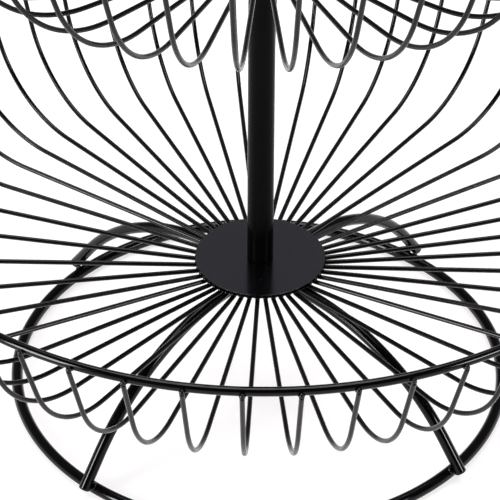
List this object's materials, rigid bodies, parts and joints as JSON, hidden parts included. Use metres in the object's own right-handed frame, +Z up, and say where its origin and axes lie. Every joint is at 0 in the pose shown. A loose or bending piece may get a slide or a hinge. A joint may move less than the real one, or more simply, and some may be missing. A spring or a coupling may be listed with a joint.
{
  "type": "two-tier wire fruit basket",
  "caption": "Two round wire baskets on a centre post, a large one below and a smaller one above, on a ring base with bent legs and a loop handle.",
  "frame": {"origin": "on the table, under the post's axis, at the underside of the base ring", "axes": "+Z up along the post, -Y towards the front, +X to the right"},
  "size_m": [0.311, 0.3112, 0.3497],
  "materials": {
    "black_coat": "black powder coat, semi-gloss",
    "satin_coat": "black-grey powder coat, satin",
    "zinc": "zinc plated"
  },
  "bodies": {
    "root": {"base_ring": "black_coat", "leg_front_right": "black_coat", "leg_back_right": "black_coat", "leg_back_left": "black_coat", "leg_front_left": "black_coat", "leg_boss": "black_coat", "base_washer": "zinc", "base_bolt": "zinc", "lower_hub_plate": "satin_coat", "lower_spokes_01": "black_coat", "lower_spokes_02": "black_coat", "lower_spokes_03": "black_coat", "lower_spokes_04": "black_coat", "lower_spokes_05": "black_coat", "lower_spokes_06": "black_coat", "lower_spokes_07": "black_coat", "lower_spokes_08": "black_coat", "lower_spokes_09": "black_coat", "lower_spokes_10": "black_coat", "lower_spokes_11": "black_coat", "lower_spokes_12": "black_coat", "lower_spokes_13": "black_coat", "lower_spokes_14": "black_coat", "lower_spokes_15": "black_coat", "lower_spokes_16": "black_coat", "lower_rim_ring": "black_coat", "lower_post": "black_coat", "post_stud": "zinc", "upper_hub_plate": "satin_coat", "upper_spokes_01": "black_coat", "upper_spokes_02": "black_coat", "upper_spokes_03": "black_coat", "upper_spokes_04": "black_coat", "upper_spokes_05": "black_coat", "upper_spokes_06": "black_coat", "upper_spokes_07": "black_coat", "upper_spokes_08": "black_coat", "upper_spokes_09": "black_coat", "upper_spokes_10": "black_coat", "upper_spokes_11": "black_coat", "upper_spokes_12": "black_coat", "upper_spokes_13": "black_coat", "upper_spokes_14": "black_coat", "upper_rim_ring": "black_coat", "upper_post": "black_coat", "handle_collar": "black_coat", "handle_loop": "black_coat"}
  },
  "joints": []
}
